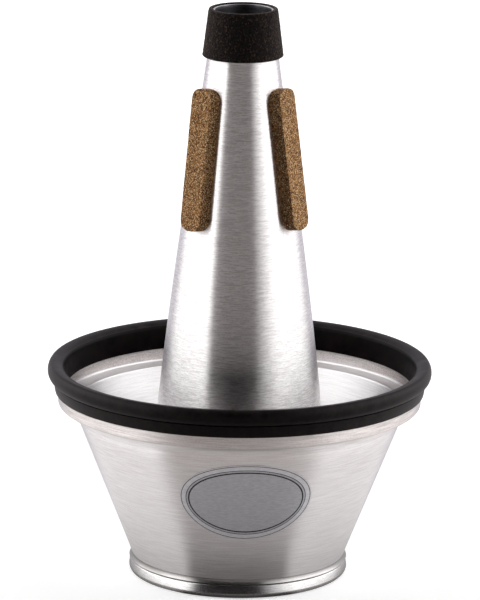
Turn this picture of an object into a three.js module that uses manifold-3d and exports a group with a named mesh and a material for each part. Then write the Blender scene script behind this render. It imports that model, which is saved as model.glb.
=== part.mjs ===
// Trumpet cup mute: a hollow spun cone, closed at its wide end, standing inside a spun cup.
// Millimetres, +Z up, standing on its foot, origin at the centre of the foot.
import * as THREE from 'three';
import { mergeVertices } from 'three/addons/utils/BufferGeometryUtils.js';
import Module from 'manifold-3d';

// Clearance between pieces that sit on each other
const seatGap = 0.3;

// Base cap: a pressed disc whose edge is rolled over both shells
const capWall = 0.9;
const beadRadius = 32.6;
const footBendInside = 0.6;
const footBendHeight = 2.1;
const lipBendInside = 0.5;
const lipBendHeight = 1.9;
const lipReach = 0.9;
const baseRecess = 1.6;

// Cone, spun from thin sheet
const coneWall = 0.8;
const coneTopZ = 170.4;
const coneMouthRadius = 9.05;
// Each pair is a share of the cone's height and a bulge as a share of its taper
const coneBulgeShares = [[0.3, 0.05], [0.45, 0.06], [0.6, 0.05], [0.75, 0.025], [0.9, -0.006]];

// Cup, spun from thin sheet
const cupWall = 0.9;
const beadProud = 0.6;
const cupWallTopZ = 46.5;
const cupWallTopRadius = 47.9;
const shoulderWidth = 6.15;
const shoulderRise = 4.4;
const bandBendHeight = 1.25;
const bandHeight = 9.35;

// Rubber bumper, a channel pushed over the cup's edge; Proud is out from the cup's band,
// Inset is in from it, and Drop is down from the cup's edge
const bumperCrown = 2.65;
const bulbProud = 3.1;
const bulbDrop = 0.2;
const bulbFootProud = 1.45;
const bulbFootDrop = 1.7;
const grooveHeight = 0.5;
const grooveDepth = 0.5;
const lipTopProud = 1.5;
const lipFootProud = 0.85;
const lipDrop = 6.05;
const crestInset = 0.4;
const crestInnerInset = 1.7;
const crestInnerDrop = 1.3;
const skirtFootInset = 2.4;
const skirtDrop = 5.4;

// Soft sleeve round the open end
const sleeveLength = 14.2;
const sleeveProud = 0.4;
const sleeveFootWall = 1.05;
const sleeveTopWall = 0.85;
const sleeveEdgeRadius = 0.35;

// Cork strips
const corkLength = 42;
const corkWidth = 8.5;
const corkThickness = 3.2;
const corkEndFlat = 2.1;
const corkBevel = 0.3;
const corkHeadDrop = 22;
// Degrees round the cone from +X and degrees out of true, uneven because they are glued by hand
const corkStrips = {
  cork_strip_left: { angle: 221, lean: 2 },
  cork_strip_right: { angle: 329, lean: 0 },
  cork_strip_back: { angle: 95, lean: 0 },
};

// How far a blank runs past the face that cuts it
const cutOverrun = 2.5;

// Facets round each turned piece, and steps in each bend or curve
const shellFacets = 48;
const rimFacets = 60;
const sleeveFacets = 36;
const bendSteps = 4;
const coneSteps = 12;

// Heights in the rolled seam, counted up from the foot
const coneFlangeTopZ = capWall + seatGap + coneWall;
const cupFlangeTopZ = coneFlangeTopZ + seatGap + cupWall;
const beadTopZ = cupFlangeTopZ + seatGap + capWall;
const cupLedgeZ = beadTopZ + seatGap;

// Radii in the rolled seam, counted in from the bead
const flangeRadius = beadRadius - capWall - seatGap;
const lipEndRadius = beadRadius - capWall - lipReach;
const cupNeckRadius = lipEndRadius - seatGap;
const coneBaseRadius = cupNeckRadius - cupWall - seatGap;
const capRiserRadius = coneBaseRadius - coneWall - seatGap - capWall;
const cupWallFootRadius = beadRadius - beadProud;

// Places that the cup and the cone give to what sits on them
const cupBandRadius = cupWallTopRadius + shoulderWidth;
const cupEdgeZ = cupWallTopZ + shoulderRise + bandBendHeight + bandHeight;
const sleeveTopZ = coneTopZ + sleeveProud;
const sleeveFootZ = sleeveTopZ - sleeveLength;
const corkFootZ = coneTopZ - corkHeadDrop - corkLength;

const point = (radius, height) => new THREE.Vector2(radius, height);
const turned = (degrees) => THREE.MathUtils.degToRad(degrees);

// Points of an upright ellipse from one angle to another, in degrees from the outward direction
function bend(centre, radialHalf, heightHalf, fromDegrees, toDegrees) {
  const clockwise = toDegrees < fromDegrees;
  const curve = new THREE.EllipseCurve(centre.x, centre.y, radialHalf, heightHalf,
    turned(fromDegrees), turned(toDegrees), clockwise);
  return curve.getPoints(bendSteps);
}

// The same line moved sideways to its left, with mitred corners
function offsetLine(line, distance) {
  const sides = line.slice(1).map((end, index) => end.clone().sub(line[index]).normalize());
  return line.map((corner, index) => {
    const before = sides[Math.max(index - 1, 0)];
    const after = sides[Math.min(index, sides.length - 1)];
    const left = point(-before.y - after.y, before.x + after.x).normalize();
    const stretch = left.x * -before.y + left.y * before.x;
    return corner.clone().addScaledVector(left, distance / stretch);
  });
}

// A sheet section: the line is one face, and the other lies to its left
function sheet(line, thickness) {
  return [...line, ...offsetLine(line, thickness).reverse()];
}

function welded(geometry) {
  geometry.deleteAttribute('normal');
  geometry.deleteAttribute('uv');
  return mergeVertices(geometry);
}

// A closed section turned round the Z axis, with its faces pointing out
function revolve(section, facets) {
  const outline = THREE.ShapeUtils.isClockWise(section) ? [...section].reverse() : [...section];
  const geometry = new THREE.LatheGeometry([...outline, outline[0]], facets);
  return welded(geometry.rotateX(turned(90)));
}

// Cone: flange held in the seam, then the slightly bulged taper up to the open end
function coneLine() {
  const rise = coneTopZ - coneFlangeTopZ;
  const taper = coneBaseRadius - coneMouthRadius;
  const stations = [[0, 0], ...coneBulgeShares, [1, 0]].map(([heightShare, bulgeShare]) =>
    point(coneBaseRadius - taper * (heightShare - bulgeShare), coneFlangeTopZ + rise * heightShare));
  return new THREE.SplineCurve(stations).getPoints(coneSteps);
}

// Outer radius of the cone at a height, along the same line
function coneRadius(height) {
  const line = coneLine();
  const above = line.findIndex((corner) => corner.y >= height);
  const [low, high] = [line[above - 1], line[above]];
  return low.clone().lerp(high, (height - low.y) / (high.y - low.y)).x;
}

function coneGeometry() {
  const face = [point(flangeRadius, coneFlangeTopZ), ...coneLine()];
  return revolve(sheet(face, coneWall), shellFacets);
}

// Base cap: recessed disc, flat foot ring, round bead and the lip that grips the cup's flange
function capGeometry() {
  const footBendWidth = capWall + footBendInside;
  const lipBendWidth = capWall + lipBendInside;
  const footCentre = point(beadRadius - footBendWidth, footBendHeight);
  const lipCentre = point(beadRadius - lipBendWidth, beadTopZ - lipBendHeight);
  const face = [
    point(0, baseRecess),
    point(capRiserRadius, baseRecess),
    point(capRiserRadius, 0),
    ...bend(footCentre, footBendWidth, footBendHeight, -90, 0),
    ...bend(lipCentre, lipBendWidth, lipBendHeight, 0, 90),
    point(lipEndRadius, beadTopZ),
  ];
  return revolve(sheet(face, capWall), shellFacets);
}

// Cup: flange, neck, ledge over the bead, sloping wall, shoulder and upright band
function cupGeometry() {
  const bendWidth = shoulderWidth / 2;
  const shoulderCentre = point(cupWallTopRadius + bendWidth, cupWallTopZ);
  const bandCentre = shoulderCentre.clone().add(point(0, shoulderRise + bandBendHeight));
  const face = [
    point(flangeRadius, cupFlangeTopZ),
    point(cupNeckRadius, cupFlangeTopZ),
    point(cupNeckRadius, cupLedgeZ),
    point(cupWallFootRadius, cupLedgeZ),
    ...bend(shoulderCentre, bendWidth, shoulderRise, 180, 90),
    ...bend(bandCentre, bendWidth, bandBendHeight, -90, 0).slice(1),
    point(cupBandRadius, cupEdgeZ),
  ];
  return revolve(sheet(face, cupWall), rimFacets);
}

// Bumper: round bulb over the cup's edge, an undercut groove, a lip outside and a skirt inside
function bumperGeometry() {
  const out = (proud) => cupBandRadius + proud;
  const inward = (inset) => cupBandRadius - inset;
  const down = (drop) => cupEdgeZ - drop;
  const channelTopZ = cupEdgeZ + seatGap;
  const crestZ = channelTopZ + bumperCrown;
  const bulbFootZ = down(bulbFootDrop);
  const lipTopZ = bulbFootZ - grooveHeight;
  const grooveRadius = out(lipTopProud) - grooveDepth;
  const channelOuterRadius = out(seatGap);
  const channelInnerRadius = inward(cupWall + seatGap);
  const bulbCentre = point(inward(crestInset), down(bulbDrop));
  const innerCentre = point(inward(crestInset), crestZ - crestInnerDrop);
  const section = [
    point(channelOuterRadius, down(lipDrop)),
    point(out(lipFootProud), down(lipDrop)),
    point(out(lipTopProud), lipTopZ),
    point(grooveRadius, lipTopZ),
    point(grooveRadius, bulbFootZ),
    point(out(bulbFootProud), bulbFootZ),
    ...bend(bulbCentre, bulbProud + crestInset, crestZ - bulbCentre.y, 0, 90),
    ...bend(innerCentre, crestInnerInset - crestInset, crestInnerDrop, 90, 180).slice(1),
    point(inward(skirtFootInset), down(skirtDrop)),
    point(channelInnerRadius, down(skirtDrop)),
    point(channelInnerRadius, channelTopZ),
    point(channelOuterRadius, channelTopZ),
  ];
  return revolve(section, rimFacets);
}

// Sleeve: a soft tube that follows the cone's taper, with softened outer edges
function sleeveGeometry() {
  const footBore = coneRadius(sleeveFootZ) + seatGap;
  const topBore = coneMouthRadius + seatGap;
  const footRadius = footBore + sleeveFootWall;
  const topRadius = topBore + sleeveTopWall;
  const edgeSlip = sleeveEdgeRadius * (footRadius - topRadius) / sleeveLength;
  const section = [
    point(footBore, sleeveFootZ),
    point(footRadius - sleeveEdgeRadius, sleeveFootZ),
    point(footRadius - edgeSlip, sleeveFootZ + sleeveEdgeRadius),
    point(topRadius + edgeSlip, sleeveTopZ - sleeveEdgeRadius),
    point(topRadius - sleeveEdgeRadius, sleeveTopZ),
    point(topBore, sleeveTopZ),
    point(topBore, coneTopZ),
  ];
  return revolve(section, sleeveFacets);
}

const { Manifold, Mesh: ManifoldMesh } = await Module().then((wasm) => {
  wasm.setup();
  return wasm;
});

function toManifold(geometry) {
  const vertProperties = new Float32Array(geometry.attributes.position.array);
  const triVerts = new Uint32Array(geometry.index.array);
  return new Manifold(new ManifoldMesh({ numProp: 3, vertProperties, triVerts }));
}

function fromManifold(solid) {
  const { vertProperties, triVerts } = solid.getMesh();
  const geometry = new THREE.BufferGeometry();
  geometry.setAttribute('position', new THREE.BufferAttribute(vertProperties, 3));
  geometry.setIndex(new THREE.BufferAttribute(triVerts, 1));
  return geometry;
}

function corkOutline() {
  const side = corkEndFlat / 2;
  const corner = corkWidth / 2 - side;
  const end = corkLength - corner;
  const outline = new THREE.Shape();
  outline.absarc(side, corner, corner, turned(-90), 0);
  outline.absarc(side, end, corner, 0, turned(90));
  outline.absarc(-side, end, corner, turned(90), turned(180));
  outline.absarc(-side, corner, corner, turned(180), turned(270));
  return outline;
}

// Cork strip: a slab with round corners and bevelled edges, its underside cut to the cone
function corkGeometry(lean) {
  const slab = new THREE.ExtrudeGeometry(corkOutline(), {
    depth: corkThickness + cutOverrun - 2 * corkBevel,
    bevelThickness: corkBevel,
    bevelSize: corkBevel,
    bevelOffset: -corkBevel,
    bevelSegments: 2,
    curveSegments: bendSteps,
  });
  slab.translate(0, -corkLength / 2, corkBevel - cutOverrun);
  slab.rotateZ(turned(lean));
  slab.translate(0, corkLength / 2, 0);

  const foot = new THREE.Vector3(coneRadius(corkFootZ), 0, corkFootZ);
  const head = new THREE.Vector3(coneRadius(corkFootZ + corkLength), 0, corkFootZ + corkLength);
  const along = head.sub(foot).normalize();
  const across = new THREE.Vector3(0, 1, 0);
  const outward = across.clone().cross(along);
  slab.applyMatrix4(new THREE.Matrix4().makeBasis(across, along, outward).setPosition(foot));

  const envelope = offsetLine(coneLine(), -seatGap);
  const core = revolve([point(0, coneFlangeTopZ), ...envelope, point(0, coneTopZ)], shellFacets);
  return fromManifold(toManifold(welded(slab)).subtract(toManifold(core)));
}

function piece(name, geometry, color, roughness, metalness) {
  const material = new THREE.MeshStandardMaterial({ color, roughness, metalness });
  const mesh = new THREE.Mesh(geometry, material);
  mesh.name = name;
  return mesh;
}

const mute = new THREE.Group();
mute.add(
  piece('base_cap', capGeometry(), 0xc6c4c5, 0.22, 1),
  piece('cone_body', coneGeometry(), 0xbcbabb, 0.32, 1),
  piece('cup_shell', cupGeometry(), 0xb6b3b3, 0.36, 1),
  piece('rim_bumper', bumperGeometry(), 0x2b292a, 0.55, 0),
  piece('throat_sleeve', sleeveGeometry(), 0x221f1f, 0.95, 0),
);
for (const [name, { angle, lean }] of Object.entries(corkStrips)) {
  const strip = piece(name, corkGeometry(lean), 0x8f6236, 0.9, 0);
  strip.rotation.z = turned(angle);
  mute.add(strip);
}

export default mute;
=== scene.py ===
# Trumpet cup mute: the finished look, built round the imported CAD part.
# Metres, +Z up. The mute stands on the floor at the origin, and the photograph looks along +Y.
import math

import bmesh
import bpy
from mathutils import Matrix, Vector, noise


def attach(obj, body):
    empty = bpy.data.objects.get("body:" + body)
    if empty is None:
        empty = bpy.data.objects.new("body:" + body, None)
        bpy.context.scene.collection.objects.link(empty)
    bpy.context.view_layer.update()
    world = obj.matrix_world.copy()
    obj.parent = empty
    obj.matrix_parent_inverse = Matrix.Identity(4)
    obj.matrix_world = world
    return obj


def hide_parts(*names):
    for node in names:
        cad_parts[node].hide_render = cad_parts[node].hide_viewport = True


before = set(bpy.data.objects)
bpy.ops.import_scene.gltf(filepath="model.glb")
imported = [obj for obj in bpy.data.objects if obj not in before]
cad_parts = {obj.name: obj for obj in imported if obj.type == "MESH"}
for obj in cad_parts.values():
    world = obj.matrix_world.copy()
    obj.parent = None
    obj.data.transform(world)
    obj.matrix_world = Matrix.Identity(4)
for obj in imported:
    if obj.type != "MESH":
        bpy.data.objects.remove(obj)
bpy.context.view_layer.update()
scene = bpy.context.scene
scene.view_settings.view_transform = "Standard"
mm = 0.001  # the dictionaries below are in millimetres and degrees
print("frame loaded:", len(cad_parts), "CAD nodes")


# camera: fitted to the ellipses of the photograph
cameraSetup = {
    "place": (0, -1500, 453.5),
    "pitch": 13.884,  # looking down
    "roll": 0.598,  # the mute leans a little to the right in the picture
    "lens": 312.33,
    "sensor": 36,
    "shift": -0.0007,  # of the sensor's width
    "clip": (50, 60000),
}
cameraData = bpy.data.cameras.new("camera")
cameraData.lens = cameraSetup["lens"]
cameraData.sensor_width = cameraSetup["sensor"]
cameraData.shift_x = cameraSetup["shift"]
cameraData.clip_start, cameraData.clip_end = (reach * mm for reach in cameraSetup["clip"])
camera = bpy.data.objects.new("camera", cameraData)
scene.collection.objects.link(camera)
scene.camera = camera
camera.matrix_world = (
    Matrix.Translation(Vector(cameraSetup["place"]) * mm)
    @ Matrix.Rotation(math.radians(90 - cameraSetup["pitch"]), 4, "X")
    @ Matrix.Rotation(math.radians(cameraSetup["roll"]), 4, "Z")
)


# small helpers for node materials
def startMaterial(name):
    material = bpy.data.materials.new(name)
    material.use_nodes = True
    material.node_tree.nodes.clear()
    return material, material.node_tree


def node(tree, kind, sockets=None, **settings):
    made = tree.nodes.new(kind)
    for key, value in settings.items():
        setattr(made, key, value)
    for key, value in (sockets or {}).items():
        if isinstance(value, bpy.types.NodeSocket):
            tree.links.new(value, made.inputs[key])
        else:
            made.inputs[key].default_value = value
    return made


def calculate(tree, operation, first, second=0.0):
    return node(tree, "ShaderNodeMath", {0: first, 1: second}, operation=operation).outputs[0]


def remap(tree, value, low, high, newLow, newHigh):
    sockets = {"Value": value, "From Min": low, "From Max": high, "To Min": newLow, "To Max": newHigh}
    return node(tree, "ShaderNodeMapRange", sockets).outputs["Result"]


def ramp(tree, value, stops):
    made = node(tree, "ShaderNodeValToRGB", {"Fac": value})
    elements = made.color_ramp.elements
    while len(elements) < len(stops):
        elements.new(1)
    for element, (position, colour) in zip(elements, stops):
        element.position = position
        element.color = (*colour, 1)
    return made.outputs["Color"]


def mixColours(tree, factor, first, second):
    return node(tree, "ShaderNodeMix", {0: factor, 6: first, 7: second}, data_type="RGBA").outputs[2]


def mixValues(tree, factor, first, second):
    return node(tree, "ShaderNodeMix", {0: factor, 2: first, 3: second}).outputs[0]


def rgba(colour):
    return (*colour, 1)


def objectPlace(tree):
    return node(tree, "ShaderNodeTexCoord").outputs["Object"]


def apartOf(tree, place):
    return node(tree, "ShaderNodeSeparateXYZ", {"Vector": place}).outputs


def axisDistance(tree, apart):
    flat = node(tree, "ShaderNodeCombineXYZ", {"X": apart["X"], "Y": apart["Y"]}).outputs[0]
    return node(tree, "ShaderNodeVectorMath", {0: flat}, operation="LENGTH").outputs["Value"]


def stretched(tree, place, scales):
    return node(tree, "ShaderNodeMapping", {"Vector": place, "Scale": scales}).outputs["Vector"]


def noiseOf(tree, place, scale, detail=2.0, roughness=0.5, distortion=0.0):
    sockets = {
        "Vector": place, "Scale": scale, "Detail": detail,
        "Roughness": roughness, "Distortion": distortion,
    }
    return node(tree, "ShaderNodeTexNoise", sockets).outputs["Fac"]


def bumpOf(tree, height, look, **sockets):
    sockets = {"Height": height, "Strength": look["bump"], "Distance": look["bumpDepth"] * mm, **sockets}
    return node(tree, "ShaderNodeBump", sockets).outputs[0]


def finishMaterial(tree, shader):
    node(tree, "ShaderNodeOutputMaterial", {"Surface": shader})


# small helpers for shapes
def arc(centre, half, fromDegrees, toDegrees, steps):
    # points of an upright ellipse, angles from the outward direction
    points = []
    for step in range(steps + 1):
        angle = math.radians(fromDegrees + (toDegrees - fromDegrees) * step / steps)
        points.append((centre[0] + half[0] * math.cos(angle), centre[1] + half[1] * math.sin(angle)))
    return points


def spinSection(line, steps, closed=False):
    bm = bmesh.new()
    corners = [bm.verts.new((radius * mm, 0, height * mm)) for radius, height in line]
    ends = corners[1:] + corners[:1] if closed else corners[1:]
    edges = [bm.edges.new(pair) for pair in zip(corners, ends)]
    bmesh.ops.spin(
        bm, geom=corners + edges, cent=(0, 0, 0), axis=(0, 0, 1), dvec=(0, 0, 0),
        angle=2 * math.pi, steps=steps, use_merge=True,
    )
    bmesh.ops.remove_doubles(bm, verts=bm.verts, dist=1e-6)
    bmesh.ops.recalc_face_normals(bm, faces=bm.faces)
    return bm


def ofKind(items, kind):
    return [item for item in items if isinstance(item, kind)]


def raiseFaces(bm, thickness):
    # makes a slab of a flat sheet, and gives the points of its upper side
    grown = bmesh.ops.extrude_face_region(bm, geom=bm.faces[:])["geom"]
    raised = ofKind(grown, bmesh.types.BMVert)
    bmesh.ops.translate(bm, verts=raised, vec=(0, 0, thickness))
    bmesh.ops.recalc_face_normals(bm, faces=bm.faces)
    return raised


def thicken(bm, wall):
    # the line is the outer face of the sheet, and the wall grows inwards from it
    bmesh.ops.solidify(bm, geom=bm.faces[:], thickness=wall * mm)
    bmesh.ops.recalc_face_normals(bm, faces=bm.faces)


def softenEdges(bm, minDegrees, width, segments=2):
    least = math.radians(minDegrees)
    sharp = [edge for edge in bm.edges if edge.is_manifold and edge.calc_face_angle() > least]
    bmesh.ops.bevel(
        bm, geom=sharp, offset=width * mm, offset_type="OFFSET", affect="EDGES",
        segments=segments, profile=0.5, material=-1, clamp_overlap=True,
    )


def makeObject(name, bm, materials):
    mesh = bpy.data.meshes.new(name)
    bm.to_mesh(mesh)
    bm.free()
    for material in materials:
        mesh.materials.append(material)
    made = bpy.data.objects.new(name, mesh)
    scene.collection.objects.link(made)
    return made


sharpDegrees = 40  # a piece's edges that turn more than this stay crisp


def makePiece(name, bm, materials, replaced=()):
    piece = makeObject(name, bm, materials)
    mesh = piece.data
    mesh.shade_smooth()
    mesh.set_sharp_from_angle(angle=math.radians(sharpDegrees))
    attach(piece, "root")
    if replaced:
        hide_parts(*replaced)
    print("made", name, "with", len(mesh.polygons), "faces")


# spun aluminium: hair lines run round the axis, so the sheen spreads up and down far more than sideways
def spunMetal(name, look):
    material, tree = startMaterial(name)
    place = objectPlace(tree)
    apart = apartOf(tree, place)
    # how far along the section, up or out
    travel = calculate(tree, "ADD", axisDistance(tree, apart), apart["Z"])

    def lines(across, along, detail):
        sockets = {
            "X": calculate(tree, "MULTIPLY", apart["X"], along),
            "Y": calculate(tree, "MULTIPLY", apart["Y"], along),
            "Z": calculate(tree, "MULTIPLY", travel, across),
        }
        vector = node(tree, "ShaderNodeCombineXYZ", sockets).outputs[0]
        return noiseOf(tree, vector, 1.0, detail, look["lineRoughness"])

    hair = lines(*look["hair"], detail=2.0)
    turned = lines(*look["turned"], detail=1.0)
    cloud = noiseOf(tree, place, look["cloudScale"])
    sparkle = lines(*look["sparkle"], detail=1.0)
    marks = mixValues(tree, look["turnedShare"], hair, turned)
    marks = mixValues(tree, look["sparkleShare"], marks, sparkle)
    darkEdge, lightEdge = look["shadeEdges"]
    shade = ramp(tree, marks, [(darkEdge, look["dark"]), (lightEdge, look["light"])])
    tarnish = remap(tree, cloud, *look["swingEdges"], 0.0, look["cloudDepth"])
    colour = mixColours(tree, tarnish, shade, rgba(look["cloudTint"]))
    rough, swing = look["roughness"], look["roughnessSwing"]
    roughness = remap(tree, marks, *look["swingEdges"], rough + swing, rough - swing)
    # the ridges that the spinning tool left lean a little, which throws the sheen down, or up below 0
    normal = node(tree, "ShaderNodeNewGeometry").outputs["Normal"]
    lean = (0, 0, -math.tan(math.radians(look["lean"])))
    leaned = node(tree, "ShaderNodeVectorMath", {0: normal, 1: lean}, operation="ADD").outputs[0]
    leaned = node(tree, "ShaderNodeVectorMath", {0: leaned}, operation="NORMALIZE").outputs[0]
    tangent = node(tree, "ShaderNodeTangent", direction_type="RADIAL", axis="Z")
    shader = node(tree, "ShaderNodeBsdfPrincipled", {
        "Base Color": colour,
        "Metallic": 1.0,
        "Roughness": roughness,
        "Anisotropic": look["anisotropy"],
        "Anisotropic Rotation": 0.25,  # a quarter turn from the tangent, which runs round the axis
        "Normal": bumpOf(tree, marks, look, Normal=leaned),
        "Tangent": tangent.outputs[0],
    })
    finishMaterial(tree, shader.outputs[0])
    return material


coneLook = {
    "dark": (0.67, 0.645, 0.64), "light": (1.0, 0.985, 0.985),
    # three kinds of line, each with its noise cells in one metre across and along the lines
    "hair": (4300, 340),
    "turned": (1500, 25), "turnedShare": 0.1,
    "sparkle": (5000, 1500), "sparkleShare": 0.3,
    "lineRoughness": 0.55,
    "shadeEdges": (0.4, 0.6),  # noise levels of the dark and of the light tone
    "swingEdges": (0.35, 0.65),  # and of the ends of the cloud's and the roughness's swing
    "cloudScale": 30, "cloudDepth": 0.2, "cloudTint": (0.88, 0.86, 0.865),
    "roughness": 0.318, "roughnessSwing": -0.03,  # below 0 the pale lines are the rougher ones
    "anisotropy": 0.99,
    "lean": 0.0,  # degrees
    "bump": 0.03, "bumpDepth": 0.01,
}
cupLook = {
    **coneLook,
    "dark": (0.77, 0.735, 0.73), "light": (0.95, 0.93, 0.93),
    "hair": (3100, 130), "sparkle": (4200, 1900),
    "turned": (1100, 20), "turnedShare": 0.12, "sparkleShare": 0.26,
    "cloudDepth": 0.34,
    "roughness": 0.289, "roughnessSwing": 0.015,
    "anisotropy": 0.917,
    "bump": 0.06, "bumpDepth": 0.02,
}
# the base is painted darker than the cone and the cup: painted shade at the foot, by the floor
baseShadeLook = {
    **coneLook,
    "dark": (0.41, 0.395, 0.395), "light": (0.52, 0.505, 0.505),
    "roughness": 0.24, "roughnessSwing": 0.02,
    "anisotropy": 0.6, "lean": -12.0,
    "bump": 0.06, "bumpDepth": 0.02,
}
# the inside of the cone is painted dark: painted shade in the bore
boreShadeLook = {
    **coneLook,
    "dark": (0.1, 0.1, 0.115), "light": (0.17, 0.165, 0.175),
    "cloudTint": (0.1, 0.09, 0.09),
    "roughness": 0.42, "anisotropy": 0.4,
}
# the inside of the cup is painted darker than its outside: painted shade
cupInsideShadeLook = {
    **cupLook,
    "dark": (0.6, 0.585, 0.59), "light": (0.73, 0.715, 0.72),
    "roughness": 0.33, "anisotropy": 0.97,
}
# the band under the rubber lip is painted darker and browner: painted shade
bandShadeLook = {
    **cupLook,
    "dark": (0.58, 0.535, 0.515), "light": (0.84, 0.79, 0.77),
    "roughness": 0.44, "anisotropy": 0.76,
}
# the band's inside under the rubber skirt is painted darker still: painted shade
innerBandShadeLook = {
    **bandShadeLook,
    "dark": (0.36, 0.32, 0.31), "light": (0.66, 0.6, 0.585),
    "sparkleShare": 0.55,
}
# the cove at the wall's foot is painted dark: painted shade
coveShadeLook = {**cupLook, "dark": (0.31, 0.3, 0.29), "light": (0.42, 0.405, 0.395), "lean": 20.0}
# the crease between the wall and the bead is painted darker still: painted shade
creaseShadeLook = {**cupLook, "dark": (0.2, 0.185, 0.185), "light": (0.32, 0.3, 0.3)}
coneMetal = spunMetal("spunConeMetal", coneLook)
cupMetal = spunMetal("spunCupMetal", cupLook)
shadedCupInsideMetal = spunMetal("shadedCupInsideMetal", cupInsideShadeLook)
shadedBandMetal = spunMetal("shadedCupBandMetal", bandShadeLook)
shadedInnerBandMetal = spunMetal("shadedCupInnerBandMetal", innerBandShadeLook)
shadedCoveMetal = spunMetal("shadedCupCoveMetal", coveShadeLook)
shadedCreaseMetal = spunMetal("shadedCupCreaseMetal", creaseShadeLook)
shadedBaseMetal = spunMetal("shadedRolledBaseMetal", baseShadeLook)
shadedBoreMetal = spunMetal("paintedShadeBoreMetal", boreShadeLook)


# rubber of the bumper: black, with a brown bloom where it is handled, and a darker copy with painted
# shade on the faces that look at the axis
handledLook = {
    "colour": (0.008, 0.006, 0.0063), "bloom": (0.024, 0.018, 0.019),
    "bloomScale": 240, "bloomEdges": (0.38, 0.68),
    "gloss": 0.1,
    "roughness": (0.34, 0.48), "roughnessEdges": (0.3, 0.7),
    "grain": 1700, "bump": 0.3, "bumpDepth": 0.03,
}
# the darker, less glossy copy for the inner skirt: painted shade
shadedInnerRubberLook = {
    **handledLook,
    "colour": (0.001, 0.0008, 0.0009), "bloom": (0.007, 0.004, 0.0045),
    "gloss": 0.05,
}


def bumperRubber(name, look):
    material, tree = startMaterial(name)
    place = objectPlace(tree)
    bloom = noiseOf(tree, place, look["bloomScale"], detail=5.0, roughness=0.65)
    grain = noiseOf(tree, place, look["grain"])
    wear = remap(tree, bloom, *look["bloomEdges"], 0.0, 1.0)
    colour = mixColours(tree, wear, rgba(look["colour"]), rgba(look["bloom"]))
    shader = node(tree, "ShaderNodeBsdfPrincipled", {
        "Base Color": colour,
        "Specular IOR Level": look["gloss"],
        "Roughness": remap(tree, bloom, *look["roughnessEdges"], *look["roughness"]),
        "Normal": bumpOf(tree, grain, look),
    })
    finishMaterial(tree, shader.outputs[0])
    return material


# soft foam rubber of the sleeve: open grain, with brown specks where the skin is worn
def sleeveFoam():
    look = {
        "deep": (0.0005, 0.0004, 0.0004), "skin": (0.017, 0.012, 0.0115),
        "grain": 1700, "grainEdges": (0.38, 0.62),
        "speck": (0.075, 0.048, 0.038),
        "specks": 1900, "speckStretch": (1, 1, 0.8), "speckEdges": (0.55, 0.64), "speckShare": 0.9,
        "gloss": 0.15, "roughness": 0.9,
        "bump": 0.9, "bumpDepth": 0.3,
    }
    material, tree = startMaterial("sleeveFoam")
    place = objectPlace(tree)
    grain = noiseOf(tree, place, look["grain"], detail=3.0, roughness=0.6, distortion=0.5)
    specks = noiseOf(tree, stretched(tree, place, look["speckStretch"]), look["specks"])
    deepEdge, skinEdge = look["grainEdges"]
    skin = ramp(tree, grain, [(deepEdge, look["deep"]), (skinEdge, look["skin"])])
    worn = remap(tree, specks, *look["speckEdges"], 0.0, look["speckShare"])
    colour = mixColours(tree, worn, skin, rgba(look["speck"]))
    shader = node(tree, "ShaderNodeBsdfPrincipled", {
        "Base Color": colour,
        "Specular IOR Level": look["gloss"],
        "Roughness": look["roughness"],
        "Sheen Weight": 0.14,
        "Sheen Roughness": 0.45,
        "Sheen Tint": (1, 0.88, 0.84, 1),
        "Normal": bumpOf(tree, grain, look),
    })
    finishMaterial(tree, shader.outputs[0])
    return material


# bonded cork: fine pressed grains with golden flecks and dark bark specks
def stripCork():
    look = {
        "grains": 2500,
        "low": (0.075, 0.028, 0.009), "middle": (0.2, 0.083, 0.027), "high": (0.6, 0.28, 0.095),
        "middleShare": 0.4,
        "flecks": 2900, "fleckEdges": (0.565, 0.6), "fleck": (1.0, 0.74, 0.42),
        "specks": 2500, "speckEdges": (0.6, 0.65), "speck": (0.045, 0.018, 0.007), "speckShare": 0.8,
        "gloss": 0.3, "roughness": 0.8,
        "bump": 0.7, "bumpDepth": 0.3, "speckPit": 0.8,
    }
    material, tree = startMaterial("stripCork")
    place = objectPlace(tree)
    grain = node(tree, "ShaderNodeTexVoronoi", {"Vector": place, "Scale": look["grains"]})
    tone = node(tree, "ShaderNodeSeparateColor", {"Color": grain.outputs["Color"]}).outputs[0]
    stops = [(0.0, look["low"]), (look["middleShare"], look["middle"]), (1.0, look["high"])]
    body = ramp(tree, tone, stops)
    fleck = noiseOf(tree, place, look["flecks"])
    golden = remap(tree, fleck, *look["fleckEdges"], 0.0, 1.0)
    speck = noiseOf(tree, place, look["specks"], roughness=0.6, distortion=0.4)
    barked = remap(tree, speck, *look["speckEdges"], 0.0, look["speckShare"])
    flecked = mixColours(tree, golden, body, rgba(look["fleck"]))
    height = calculate(tree, "SUBTRACT", fleck, calculate(tree, "MULTIPLY", speck, look["speckPit"]))
    shader = node(tree, "ShaderNodeBsdfPrincipled", {
        "Base Color": mixColours(tree, barked, flecked, rgba(look["speck"])),
        "Specular IOR Level": look["gloss"],
        "Roughness": look["roughness"],
        "Normal": bumpOf(tree, height, look),
    })
    finishMaterial(tree, shader.outputs[0])
    return material


# the foil: a satin film with a plain field and a paler border, and dark printed lines
fieldLook = {
    "dark": (0.55, 0.555, 0.595), "light": (0.67, 0.67, 0.71),
    "grain": 2600, "stretch": (0.25, 0.25, 1), "grainEdges": (0.35, 0.65),
    "metallic": 0.85, "roughness": 0.34,
}
borderLook = {**fieldLook, "dark": (0.76, 0.76, 0.8), "light": (0.9, 0.9, 0.93)}
printLook = {
    "dark": (0.008, 0.007, 0.009), "light": (0.03, 0.028, 0.032),
    "grain": 1800, "stretch": (1, 1, 1), "grainEdges": (0.4, 0.75),
    "metallic": 0.0, "roughness": 0.45,
}


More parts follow.
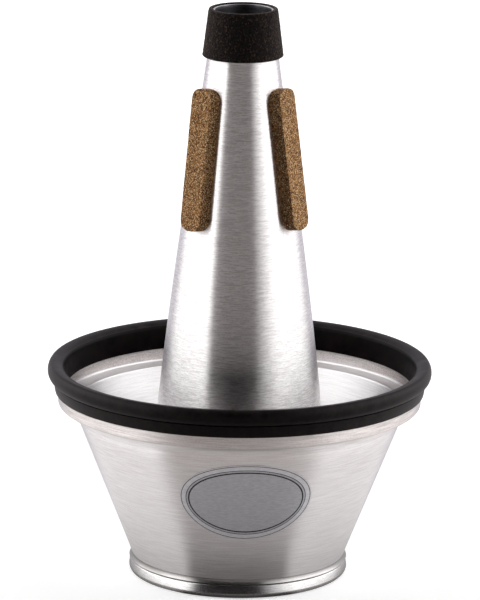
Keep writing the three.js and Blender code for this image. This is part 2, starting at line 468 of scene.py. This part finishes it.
def foilFinish(name, look):
    material, tree = startMaterial(name)
    place = objectPlace(tree)
    drawn = stretched(tree, place, look["stretch"])
    grain = noiseOf(tree, drawn, look["grain"], detail=3.0, roughness=0.6)
    darkEdge, lightEdge = look["grainEdges"]
    shader = node(tree, "ShaderNodeBsdfPrincipled", {
        "Base Color": ramp(tree, grain, [(darkEdge, look["dark"]), (lightEdge, look["light"])]),
        "Metallic": look["metallic"],
        "Roughness": look["roughness"],
    })
    finishMaterial(tree, shader.outputs[0])
    return material


handledRubber = bumperRubber("handledRubber", handledLook)
shadedInnerRubber = bumperRubber("shadedInnerRubber", shadedInnerRubberLook)
foam = sleeveFoam()
cork = stripCork()
foilField = foilFinish("foilField", fieldLook)
foilBorder = foilFinish("foilBorder", borderLook)
keylinePrint = foilFinish("keylinePrint", printLook)
print("materials ready")


# base cap: recessed disc, foot ring, and the bead rolled over both shells
baseCap = {
    "wall": 0.9,
    "recess": 1.6,
    "riserRadius": 27.3,
    "cornerRadius": 0.45, "cornerSteps": 4,
    "beadRadius": 32.6,
    "beadTop": 4.15,
    "footBend": (1.3, 1.6), "footSteps": 12,  # bends are given outwards and upwards
    "lipBend": (0.55, 0.6), "lipSteps": 8,
    "faceDraw": 0.25,  # how far the bead's face is drawn in at its top
    "lipEndRadius": 30.8,
    "facets": 144,
}


def buildBase():
    size = baseCap
    riser, recess = size["riserRadius"], size["recess"]
    corner, cornerSteps = size["cornerRadius"], size["cornerSteps"]
    line = [(0, recess), (riser / 2, recess)]
    line += arc((riser - corner, recess - corner), (corner, corner), 90, 0, cornerSteps)
    line += arc((riser + corner, corner), (corner, corner), 180, 270, cornerSteps)
    footBend, lipBend = size["footBend"], size["lipBend"]
    line += arc((size["beadRadius"] - footBend[0], footBend[1]), footBend, -90, 0, size["footSteps"])
    lipRadius = size["beadRadius"] - size["faceDraw"] - lipBend[0]
    line += arc((lipRadius, size["beadTop"] - lipBend[1]), lipBend, 0, 90, size["lipSteps"])
    line.append((size["lipEndRadius"], size["beadTop"]))
    bm = spinSection(line, size["facets"])
    thicken(bm, size["wall"])
    makePiece("rolled_base", bm, [shadedBaseMetal], ["base_cap"])


buildBase()


# cone: flange in the seam, then the slightly bulged taper up to the open end
cone = {
    "wall": 0.8,
    "flangeRadius": 31.4,
    "flangeTop": 2.0,
    "baseRadius": 29.3,
    "topZ": 170.4,
    "mouthRadius": 9.05,
    # shares of the height, each with its bulge as a share of the taper
    "bulge": ((0, 0), (0.3, 0.05), (0.45, 0.06), (0.6, 0.05), (0.75, 0.025), (0.9, -0.006), (1, 0)),
    "edge": 0.12, "edgeDegrees": 60,
    "insideShare": 0.7,  # of the wall, past which a face belongs to the inside
    "steps": 60, "facets": 160,
}


def coneLine():
    # the CAD line: one smooth curve through the stations that the bulge gives
    rise = cone["topZ"] - cone["flangeTop"]
    taper = cone["baseRadius"] - cone["mouthRadius"]
    stations = [
        Vector((cone["baseRadius"] - taper * (share - bulge), cone["flangeTop"] + rise * share))
        for share, bulge in cone["bulge"]
    ]
    spans = len(stations) - 1
    line = []
    for step in range(cone["steps"] + 1):
        along = spans * step / cone["steps"]
        span = min(int(along), spans - 1)
        part = along - span
        nearby = (min(max(span + shift, 0), spans) for shift in (-1, 0, 1, 2))
        before, start, end, after = (stations[index] for index in nearby)
        leave, arrive = (end - before) / 2, (after - start) / 2
        spot = (
            (2 * start - 2 * end + leave + arrive) * part ** 3
            + (-3 * start + 3 * end - 2 * leave - arrive) * part ** 2
            + leave * part + start
        )
        line.append((spot.x, spot.y))
    return line


coneCurve = coneLine()


def coneRadius(height):
    height = min(height, coneCurve[-1][1])
    above = next(index for index, spot in enumerate(coneCurve) if spot[1] >= height)
    if above == 0:
        return coneCurve[0][0]
    low, high = coneCurve[above - 1], coneCurve[above]
    share = (height - low[1]) / (high[1] - low[1])
    return low[0] + (high[0] - low[0]) * share


def buildCone():
    line = [(cone["flangeRadius"], cone["flangeTop"])] + coneCurve
    bm = spinSection(line, cone["facets"])
    thicken(bm, cone["wall"])
    softenEdges(bm, cone["edgeDegrees"], cone["edge"])
    # faces inside the bore get the dark copy of the metal: painted shade
    inset = cone["insideShare"] * cone["wall"]
    for face in bm.faces:
        centre = face.calc_center_median()
        if math.hypot(centre.x, centre.y) < (coneRadius(centre.z / mm) - inset) * mm:
            face.material_index = 1
    makePiece("spun_cone", bm, [coneMetal, shadedBoreMetal], ["cone_body"])


buildCone()


# cup: flange, neck, ledge, sloping wall, shoulder and upright band
cup = {
    "wall": 0.9,
    "bore": 0.96,  # how far the sloping wall's inner face lies inside its outer one
    "innerCorner": (0.6, 0.8), "innerTurn": 165,  # the corner's reach, and the degrees where it ends
    "innerShelfZ": 51.3, "innerFillet": 0.75, "filletLift": 0.15,
    "innerFootLift": 0.35,  # from the cove's top to the foot of the inner wall
    "flangeRadius": 31.4,
    "flangeTop": 3.2,
    "neckRadius": 30.5,
    "ledge": 4.7,
    "footRadius": 32.0,
    "skirtFoot": (32.55, 4.4),  # the small cove that flares out over the bead
    "skirtTopZ": 5.55,
    "skirtDraw": 0.25,  # how far the wall's foot is drawn in above the cove
    "skirtSink": 0.1,
    "creaseHeight": 0.22, "creaseOut": 0.05,
    "wallTopRadius": 47.9,
    "wallTopZ": 46.5,
    "shoulderRise": 4.4,
    "bandBend": 1.25, "bandShare": 0.9,  # of the bend, which has the band's darker finish, a painted shade
    "bandRadius": 54.05,
    "edgeZ": 61.5,
    "coveSteps": 5, "wallSteps": 12, "shoulderSteps": 12, "bendSteps": 8,
    "facets": 192,
}


def buildCup():
    size = cup
    coveSteps, wallSteps, bendSteps = size["coveSteps"], size["wallSteps"], size["bendSteps"]
    half = (size["bandRadius"] - size["wallTopRadius"]) / 2
    middle = size["wallTopRadius"] + half
    bendTop = size["wallTopZ"] + size["shoulderRise"] + size["bandBend"]
    coveRadius, coveZ = size["skirtFoot"]
    line = [
        (size["flangeRadius"], size["flangeTop"]),
        (size["neckRadius"], size["flangeTop"]),
        (size["neckRadius"], coveZ),
        (coveRadius, coveZ),
    ]
    drawnRadius = size["footRadius"] - size["skirtDraw"]
    for step in range(1, coveSteps + 1):
        share = step / coveSteps
        radius = coveRadius + (drawnRadius - coveRadius) * share
        sink = size["skirtSink"] * math.sin(math.pi * share)
        line.append((radius - sink, coveZ + (size["skirtTopZ"] - coveZ) * share))
    crease = (drawnRadius + size["creaseOut"], size["skirtTopZ"] + size["creaseHeight"])
    line.append(crease)
    for step in range(1, wallSteps):
        share = step / wallSteps
        line.append((
            crease[0] + (size["wallTopRadius"] - crease[0]) * share,
            crease[1] + (size["wallTopZ"] - crease[1]) * share,
        ))
    shoulder = (half, size["shoulderRise"])
    line += arc((middle, size["wallTopZ"]), shoulder, 180, 90, size["shoulderSteps"])
    line += arc((middle, bendTop), (half, size["bandBend"]), -90, 0, bendSteps)[1:]
    line.append((size["bandRadius"], size["edgeZ"]))

    # back down along the inner face: band, fillet, shelf, corner and sloping wall
    wall, shelf, fillet = size["wall"], size["innerShelfZ"], size["innerFillet"]
    slope = (size["wallTopRadius"] - crease[0]) / (size["wallTopZ"] - crease[1])

    def innerRadius(height):
        return crease[0] + slope * (height - crease[1]) - size["bore"]

    bandInner = size["bandRadius"] - wall
    line.append((bandInner, size["edgeZ"]))
    filletTop = shelf + size["filletLift"] + fillet
    line += arc((bandInner - fillet, filletTop), (fillet, fillet), 0, -90, bendSteps)
    out, drop = size["innerCorner"]
    cornerZ = shelf - drop
    line += arc((innerRadius(cornerZ) + out, cornerZ), (out, drop), 90, size["innerTurn"], bendSteps)
    innerFootZ = size["skirtTopZ"] + size["innerFootLift"]
    for step in range(1, wallSteps + 1):
        height = cornerZ + (innerFootZ - cornerZ) * step / wallSteps
        line.append((innerRadius(height), height))
    neck = size["neckRadius"] - wall
    line += [
        (neck, coveZ + wall),
        (neck, size["flangeTop"] - wall),
        (size["flangeRadius"], size["flangeTop"] - wall),
    ]
    bm = spinSection(line, size["facets"], closed=True)
    bandFoot = bendTop - size["bandShare"] * size["bandBend"]
    finishes = [cupMetal, shadedCupInsideMetal, shadedBandMetal, shadedInnerBandMetal, shadedCoveMetal, shadedCreaseMetal]
    # inner faces, the band, the cove and the crease get darker copies of the cup's metal: painted shade
    for face in bm.faces:
        centre = face.calc_center_median()
        height = centre.z / mm
        finish = cupMetal
        if height > size["ledge"] and face.normal.xy.dot(centre.xy) < 0:
            finish = shadedInnerBandMetal if height > filletTop else shadedCupInsideMetal
        elif height > bandFoot:
            finish = shadedBandMetal
        elif coveZ < height < size["skirtTopZ"]:
            finish = shadedCoveMetal
        elif size["skirtTopZ"] < height < crease[1]:
            finish = shadedCreaseMetal
        face.material_index = finishes.index(finish)
    makePiece("spun_cup", bm, finishes, ["cup_shell"])


buildCup()


# foil: a plain oval of satin film with two dark keylines, stuck on the cup's sloping wall
foil = {
    "azimuth": 3.1,  # degrees to the right of the photograph's side
    "centreZ": 32.5,
    "half": (19.8, 13.5),
    "thickness": 0.06,
    "lift": 0.02,
    "facets": 96,
    "plainShares": (0.06, 0.2, 0.4, 0.6, 0.8, 1),  # where the plain middle is cut, so that it can bend
    # width of each ring outside the plain middle, and its finish: 0 field, 1 print, 2 border
    "rings": ((0.45, 1), (0.5, 0), (0.22, 1), (1.3, 2), (0.2, 1), (0.35, 2)),
}


def buildFoil():
    size = foil
    slant = (cup["wallTopRadius"] - cup["footRadius"], cup["wallTopZ"] - cup["ledge"])
    rise = Vector(slant).normalized()
    halves = [size["half"]]
    for width, finish in reversed(size["rings"]):
        halves.insert(0, (halves[0][0] - width, halves[0][1] - width))
    middle = halves.pop(0)
    outlines = [(middle[0] * share, middle[1] * share, 0) for share in size["plainShares"]]
    outlines += [(*half, ring[1]) for half, ring in zip(halves, size["rings"])]

    bm = bmesh.new()
    bmesh.ops.create_circle(bm, cap_ends=True, segments=size["facets"], radius=1)
    bmesh.ops.scale(bm, verts=bm.verts, vec=(outlines[0][0], outlines[0][1], 1))
    rim = list(bm.edges)
    for inner, outer in zip(outlines, outlines[1:]):
        grown = bmesh.ops.extrude_edge_only(bm, edges=rim)["geom"]
        verts = ofKind(grown, bmesh.types.BMVert)
        rim = ofKind(grown, bmesh.types.BMEdge)
        bmesh.ops.scale(bm, verts=verts, vec=(outer[0] / inner[0], outer[1] / inner[1], 1))
        for face in ofKind(grown, bmesh.types.BMFace):
            face.material_index = outer[2]
    bmesh.ops.recalc_face_normals(bm, faces=bm.faces)
    if bm.faces[0].normal.z < 0:
        bmesh.ops.reverse_faces(bm, faces=bm.faces)
    raiseFaces(bm, size["thickness"])

    share = (size["centreZ"] - cup["ledge"]) / (cup["wallTopZ"] - cup["ledge"])
    centreRadius = cup["footRadius"] + (cup["wallTopRadius"] - cup["footRadius"]) * share
    for vert in bm.verts:
        # x runs round the wall, y up its slope, and z stands off it
        along, up, off = vert.co.x, vert.co.y, vert.co.z + size["lift"]
        angle = math.radians(size["azimuth"]) + along / centreRadius
        radius = centreRadius + up * rise.x + off * rise.y
        height = size["centreZ"] + up * rise.y - off * rise.x
        vert.co = Vector((radius * math.sin(angle), -radius * math.cos(angle), height)) * mm
    makePiece("plain_foil", bm, [foilField, keylinePrint, foilBorder])


buildFoil()


# bumper: rubber channel over the cup's edge, with its bulb, groove, lip and skirt
bumper = {
    "channelOuter": 54.35, "channelInner": 52.85, "channelTop": 61.8,
    "crownZ": 63.85, "crestRadius": 55.8, "crestInnerRadius": 52.3, "crestDrop": 2.05,
    "bulbRadius": 57.15, "bulbZ": 61.4, "bulbFootRadius": 55.5, "bulbFootZ": 59.1,
    "grooveRadius": 55.05, "grooveHeight": 0.35,
    "lipTopRadius": 55.55, "lipFootRadius": 54.9, "lipFootZ": 55.3,
    "skirtRadius": 51.65, "skirtZ": 55.8,
    "edge": 0.12, "edgeDegrees": 50, "edgeSegments": 3,
    "shadeFacing": -0.8,  # how squarely a face looks at the axis to get the darker rubber, painted shade on the inner skirt
    "underSteps": 10, "overSteps": 14, "innerSteps": 10,
    "facets": 192,
}


def buildBumper():
    size = bumper
    lipTop = size["bulbFootZ"] - size["grooveHeight"]
    section = [
        (size["channelOuter"], size["lipFootZ"]),
        (size["lipFootRadius"], size["lipFootZ"]),
        (size["lipTopRadius"], lipTop),
        (size["grooveRadius"], lipTop),
        (size["grooveRadius"], size["bulbFootZ"]),
    ]
    foot, crest = size["bulbFootRadius"], size["crestRadius"]
    under = (size["bulbRadius"] - foot, size["bulbZ"] - size["bulbFootZ"])
    over = (size["bulbRadius"] - crest, size["crownZ"] - size["bulbZ"])
    section += arc((foot, size["bulbZ"]), under, -90, 0, size["underSteps"])
    section += arc((crest, size["bulbZ"]), over, 0, 90, size["overSteps"])[1:]
    inner = (crest - size["crestInnerRadius"], size["crestDrop"])
    section += arc((crest, size["crownZ"] - size["crestDrop"]), inner, 90, 180, size["innerSteps"])[1:]
    section += [
        (size["skirtRadius"], size["skirtZ"]),
        (size["channelInner"], size["skirtZ"]),
        (size["channelInner"], size["channelTop"]),
        (size["channelOuter"], size["channelTop"]),
    ]
    bm = spinSection(section, size["facets"], closed=True)
    softenEdges(bm, size["edgeDegrees"], size["edge"], size["edgeSegments"])
    # faces that look at the axis get the darker rubber: painted shade
    for face in bm.faces:
        centre = face.calc_center_median()
        if face.normal.xy.dot(centre.xy.normalized()) < size["shadeFacing"]:
            face.material_index = 1
    makePiece("rubber_bumper", bm, [handledRubber, shadedInnerRubber], ["rim_bumper"])


buildBumper()


# sleeve: a soft tube stretched over the open end
sleeve = {
    "footZ": 156.6, "topZ": 170.8,
    "gap": 0.05,
    "footRadius": 11.95, "topRadius": 10.2,
    "edge": 0.45, "edgeSteps": 4,
    "ripple": 0.07,
    "rippleScales": (500, 1500), "broadShare": 0.5,
    "rippleFrom": 10,  # nearer the axis than this nothing ripples
    "rippleDrop": 0.1,  # nor does this much at the top
    "rows": 56, "boreRows": 8,
    "facets": 240,
}


def buildSleeve():
    size = sleeve
    rows, boreRows = size["rows"], size["boreRows"]
    foot, top, edge = size["footZ"], size["topZ"], size["edge"]
    slope = (size["footRadius"] - size["topRadius"]) / (top - foot)

    def outer(height):
        return size["footRadius"] - slope * (height - foot)

    section = arc((outer(foot) - edge, foot + edge), (edge, edge), -90, 0, size["edgeSteps"])
    for row in range(1, rows):
        height = foot + edge + (top - foot - 2 * edge) * row / rows
        section.append((outer(height), height))
    section += arc((outer(top) - edge, top - edge), (edge, edge), 0, 90, size["edgeSteps"])
    section.append((coneRadius(cone["topZ"]) + size["gap"], top))
    for row in range(boreRows + 1):
        height = cone["topZ"] - (cone["topZ"] - foot) * row / boreRows
        section.append((coneRadius(height) + size["gap"], height))
    bm = spinSection(section, size["facets"], closed=True)
    broad, fine = size["rippleScales"]
    rippleTop = top - size["rippleDrop"]
    for vert in bm.verts:
        if math.hypot(vert.co.x, vert.co.y) > size["rippleFrom"] * mm and vert.co.z < rippleTop * mm:
            outward = Vector((vert.co.x, vert.co.y, 0)).normalized()
            wave = size["broadShare"] * noise.noise(vert.co * broad) + noise.noise(vert.co * fine)
            vert.co += outward * wave * size["ripple"] * mm
    makePiece("foam_sleeve", bm, [foam], ["throat_sleeve"])


buildSleeve()


# cork strips: slabs with round corners, soft edges and a crumbly face
corks = {
    "length": 42, "width": 8.5, "thickness": 3.2, "corner": 3.2,
    "bevel": 0.16, "bevelDegrees": 60,
    "footZ": 106.4,
    "gap": 0.04,
    "grid": 0.5,
    "crumble": 0.06,
    "crumbleScale": 900,
    "crumbleSeed": 7,
    # degrees round the cone from +X, degrees out of true, and the CAD node
    "strips": {
        "cork_left": (221, 2, "cork_strip_left"),
        "cork_right": (329, 0, "cork_strip_right"),
        "cork_back": (95, 0, "cork_strip_back"),
    },
}


def buildCork(name, angle, lean, cadNode):
    size = corks
    width, length, corner = size["width"], size["length"], size["corner"]
    bm = bmesh.new()
    across, along = round(width / size["grid"]), round(length / size["grid"])
    bmesh.ops.create_grid(bm, x_segments=across, y_segments=along, size=0.5)
    for vert in bm.verts:
        x, y = vert.co.x * width, (vert.co.y + 0.5) * length
        # rows near each end are drawn in, so that the corners come out round
        fromEnd = min(y, length - y)
        if fromEnd < corner:
            x *= 1 - (corner - math.sqrt(corner ** 2 - (corner - fromEnd) ** 2)) / (width / 2)
        vert.co = (x, y, 0)
    tilt = Matrix.Rotation(math.radians(lean), 3, "Z")
    bmesh.ops.rotate(bm, verts=bm.verts, cent=(0, length / 2, 0), matrix=tilt)
    raised = set(raiseFaces(bm, size["thickness"]))

    footRadius, headRadius = coneRadius(size["footZ"]), coneRadius(size["footZ"] + length)
    rise = Vector((headRadius - footRadius, 0, length)).normalized()
    outward = Vector((rise.z, 0, -rise.x))
    origin = Vector((footRadius, 0, size["footZ"]))
    turn = Matrix.Rotation(math.radians(angle), 3, "Z")
    for vert in bm.verts:
        place = origin + Vector((0, 1, 0)) * vert.co.x + rise * vert.co.y
        if vert in raised:
            place += outward * size["thickness"]
        else:
            radius = coneRadius(place.z) + size["gap"]
            place.x = math.sqrt(max(radius ** 2 - place.y ** 2, 0))
        vert.co = turn @ (place * mm)
    softenEdges(bm, size["bevelDegrees"], size["bevel"])
    for vert in bm.verts:
        middle = coneRadius(vert.co.z / mm) + size["thickness"] / 2
        if math.hypot(vert.co.x, vert.co.y) > middle * mm:
            vert.co += noise.noise_vector(vert.co * size["crumbleScale"]) * size["crumble"] * mm
    makePiece(name, bm, [cork], [cadNode])


noise.seed_set(corks["crumbleSeed"])  # or noise_vector would follow the clock
for stripName, (stripAngle, stripLean, stripNode) in corks["strips"].items():
    buildCork(stripName, stripAngle, stripLean, stripNode)


# stage: floor, light tent and lamps
stageSetup = {
    "floorRadius": 14000, "floorFacets": 96,
    "floorColour": 0.86,
    "frontFloorColour": 0.06,  # painted shade: the floor's colour for the light it throws back in front, where the studio is dark
    "floorLift": ((60, 0.52), (350, 0.68)),  # added for the camera, by distance from the axis in mm
    "farLift": ((450, 0.0), (1200, 0.4)),  # added on top, where the lamps' light ends
    # degrees round from the photograph's side between which the dark front turns to the bright sides:
    # on the left, on the right, and on the floor close to the object; and the sides to the back
    "leftTurn": (45, 54), "rightTurn": (24, 64), "nearTurn": (29, 36), "backTurn": (120, 140),
    "nearReach": 36, "farReach": (80, 240),  # mm from the axis where the floor's turns change
    # light that metal and rubber mirror, by degrees above the horizon
    "frontSky": ((0, (0.007, 0.006, 0.006)), (60, (0.012, 0.012, 0.014)), (90, (0.05, 0.05, 0.055))),
    "sideSky": ((0, (1.5, 1.5, 1.5)), (4, (1.7, 1.7, 1.7)), (10, (2.6, 2.6, 2.6)),
                (28, (2.6, 2.6, 2.6)), (45, (1.6, 1.58, 1.57)), (60, (1.15, 1.13, 1.13)),
                (75, (0.5, 0.49, 0.5)), (90, (0.15, 0.15, 0.16))),
    "backSky": ((0, (0.75, 0.73, 0.78)), (40, (0.66, 0.64, 0.69)),
                (65, (0.3, 0.29, 0.31)), (90, (0.1, 0.1, 0.11))),
    # light of the floor that they mirror, by distance from the axis in mm: a painted glow, dimmer in
    # front and darkest close to the object as a painted contact shadow
    "frontFloor": ((33, (0.03, 0.028, 0.028)), (38, (0.12, 0.115, 0.115)), (50, (0.36, 0.34, 0.34)),
                   (65, (0.44, 0.42, 0.415)), (80, (0.47, 0.445, 0.44)), (160, (0.45, 0.415, 0.405)),
                   (300, (0.46, 0.42, 0.41)), (600, (0.7, 0.65, 0.635)), (2500, (0.82, 0.77, 0.755))),
    "sideFloor": ((33, (0.3, 0.29, 0.29)), (38, (0.45, 0.44, 0.44)), (46, (0.56, 0.545, 0.545)),
                  (63, (0.72, 0.7, 0.7)), (79, (0.82, 0.8, 0.8)), (150, (0.92, 0.9, 0.9)),
                  (400, (0.97, 0.95, 0.95))),
    "backFloor": ((33, (0.1, 0.1, 0.1)), (46, (0.45, 0.44, 0.46)), (79, (0.65, 0.63, 0.67)),
                  (400, (0.7, 0.68, 0.72))),
    "tentRadius": 3400, "tentFoot": -4, "tentRows": 24, "tentFacets": 96,  # the foot in degrees
    "worldLevel": (0.01, 0.24),  # what diffuse surfaces get from the front and from all other sides
    # place, width and height in mm, and watts
    "lamps": {
        "left_softbox": ((-1500, 300, 600), (1000, 1200), 17),
        "right_softbox": ((1500, 300, 600), (1000, 1200), 17),
        "top_softbox": ((0, 400, 1700), (1200, 1200), 5),
    },
    "lampAim": (0, 0, 80),
}


def azimuthOf(tree, place):
    # degrees round the axis from the photograph's viewing side, rightwards, and up to 180 both ways
    apart = apartOf(tree, place)
    towards = calculate(tree, "MULTIPLY", apart["Y"], -1.0)
    return calculate(tree, "DEGREES", calculate(tree, "ARCTAN2", apart["X"], towards))


def elevationOf(tree, place):
    apart = apartOf(tree, place)
    return calculate(tree, "DEGREES", calculate(tree, "ARCTAN2", apart["Z"], axisDistance(tree, apart)))


def lightBy(tree, value, stops):
    # a ramp whose light may be brighter than white
    last = stops[-1][0]
    peak = max(max(light) for place, light in stops)
    colours = ramp(tree, calculate(tree, "DIVIDE", value, last), [
        (place / last, tuple(part / peak for part in light)) for place, light in stops
    ])
    return node(tree, "ShaderNodeVectorMath", {0: colours, "Scale": peak}, operation="SCALE").outputs[0]


def bySector(tree, azimuth, front, side, back, leftTurn=None, rightTurn=None):
    leftwards = calculate(tree, "MULTIPLY", azimuth, -1.0)
    left = remap(tree, leftwards, *(leftTurn or stageSetup["leftTurn"]), 0.0, 1.0)
    right = remap(tree, azimuth, *(rightTurn or stageSetup["rightTurn"]), 0.0, 1.0)
    beside = mixColours(tree, calculate(tree, "MAXIMUM", left, right), front, side)
    away = calculate(tree, "ABSOLUTE", azimuth)
    return mixColours(tree, remap(tree, away, *stageSetup["backTurn"], 0.0, 1.0), beside, back)


def buildFloor():
    material, tree = startMaterial("paleFloor")
    place = objectPlace(tree)
    azimuth = azimuthOf(tree, place)
    paths = node(tree, "ShaderNodeLightPath")
    reach = node(tree, "ShaderNodeVectorMath", {0: place}, operation="LENGTH").outputs["Value"]
    reach = calculate(tree, "DIVIDE", reach, mm)
    pale, dim = (rgba((stageSetup[key],) * 3) for key in ("floorColour", "frontFloorColour"))
    # the floor's colour is dim in the front sector: painted shade
    thrown = bySector(tree, azimuth, dim, pale, pale)
    colour = mixColours(tree, paths.outputs["Is Camera Ray"], thrown, pale)
    diffuse = node(tree, "ShaderNodeBsdfDiffuse", {"Color": colour})
    lifts = []
    for (near, nearLift), (far, farLift) in (stageSetup["floorLift"], stageSetup["farLift"]):
        lifts.append(remap(tree, reach, near, far, nearLift, farLift))
    lift = calculate(tree, "ADD", *lifts)
    seenLift = calculate(tree, "MULTIPLY", paths.outputs["Is Camera Ray"], lift)
    lifted = node(tree, "ShaderNodeEmission", {"Color": (1, 1, 1, 1), "Strength": seenLift})
    seen = node(tree, "ShaderNodeAddShader", {0: diffuse.outputs[0], 1: lifted.outputs[0]})
    # close to the object the turns draw in, and far from it the right one goes soft
    near, (middle, far) = stageSetup["nearReach"], stageSetup["farReach"]
    leftTurn, rightTurn = [], []
    turns = (stageSetup[key] for key in ("nearTurn", "leftTurn", "rightTurn"))
    for close, left, right in zip(*turns):
        turn = remap(tree, reach, near, middle, close, left)
        leftTurn.append(turn)
        drift = remap(tree, reach, middle, far, 0.0, right - left)
        rightTurn.append(calculate(tree, "ADD", turn, drift))
    lights = [lightBy(tree, reach, stageSetup[key]) for key in ("frontFloor", "sideFloor", "backFloor")]
    mirrored = bySector(tree, azimuth, *lights, leftTurn, rightTurn)
    glow = node(tree, "ShaderNodeEmission", {"Color": mirrored, "Strength": 1.0})
    mirror = paths.outputs["Is Glossy Ray"]
    both = node(tree, "ShaderNodeMixShader", {0: mirror, 1: seen.outputs[0], 2: glow.outputs[0]})
    finishMaterial(tree, both.outputs[0])
    material.cycles.emission_sampling = "NONE"
    bm = bmesh.new()
    facets, radius = stageSetup["floorFacets"], stageSetup["floorRadius"] * mm
    bmesh.ops.create_circle(bm, cap_ends=True, segments=facets, radius=radius)
    makeObject("floor", bm, [material])


def buildTent():
    # the panels of the light tent, which only the metal and the rubber mirror
    material, tree = startMaterial("lightTent")
    place = objectPlace(tree)
    elevation = elevationOf(tree, place)
    light = bySector(tree, azimuthOf(tree, place), *(
        lightBy(tree, elevation, stageSetup[key]) for key in ("frontSky", "sideSky", "backSky")
    ))
    glow = node(tree, "ShaderNodeEmission", {"Color": light, "Strength": 1.0})
    finishMaterial(tree, glow.outputs[0])
    material.cycles.emission_sampling = "NONE"
    radius = stageSetup["tentRadius"]
    dome = arc((0, 0), (radius, radius), stageSetup["tentFoot"], 90, stageSetup["tentRows"])
    tent = makeObject("light_tent", spinSection(dome, stageSetup["tentFacets"]), [material])
    tent.visible_camera = False
    tent.visible_diffuse = False
    tent.visible_shadow = False


def areaLamp(name, place, size, power):
    data = bpy.data.lights.new(name, "AREA")
    data.shape = "RECTANGLE"
    data.size, data.size_y = (side * mm for side in size)
    data.energy = power
    lamp = bpy.data.objects.new(name, data)
    lamp.location = Vector(place) * mm
    aim = Vector(stageSetup["lampAim"]) - Vector(place)
    lamp.rotation_euler = aim.to_track_quat("-Z", "Y").to_euler()
    lamp.visible_glossy = False
    scene.collection.objects.link(lamp)


def buildWorld():
    world = bpy.data.worlds.new("studio")
    scene.world = world
    world.use_nodes = True
    tree = world.node_tree
    tree.nodes.clear()
    paths = node(tree, "ShaderNodeLightPath")
    azimuth = azimuthOf(tree, node(tree, "ShaderNodeTexCoord").outputs["Generated"])
    seen = calculate(tree, "MAXIMUM", paths.outputs["Is Camera Ray"], paths.outputs["Is Glossy Ray"])
    seen = calculate(tree, "MAXIMUM", seen, paths.outputs["Is Transmission Ray"])
    away = calculate(tree, "ABSOLUTE", azimuth)
    soft = remap(tree, away, *stageSetup["leftTurn"], *stageSetup["worldLevel"])
    level = mixValues(tree, seen, soft, 1.0)
    backdrop = node(tree, "ShaderNodeBackground", {"Color": (1, 1, 1, 1), "Strength": level})
    node(tree, "ShaderNodeOutputWorld", {"Surface": backdrop.outputs[0]})


buildFloor()
buildTent()
buildWorld()
for lampName, (lampPlace, lampSize, lampPower) in stageSetup["lamps"].items():
    areaLamp(lampName, lampPlace, lampSize, lampPower)
print("stage ready")
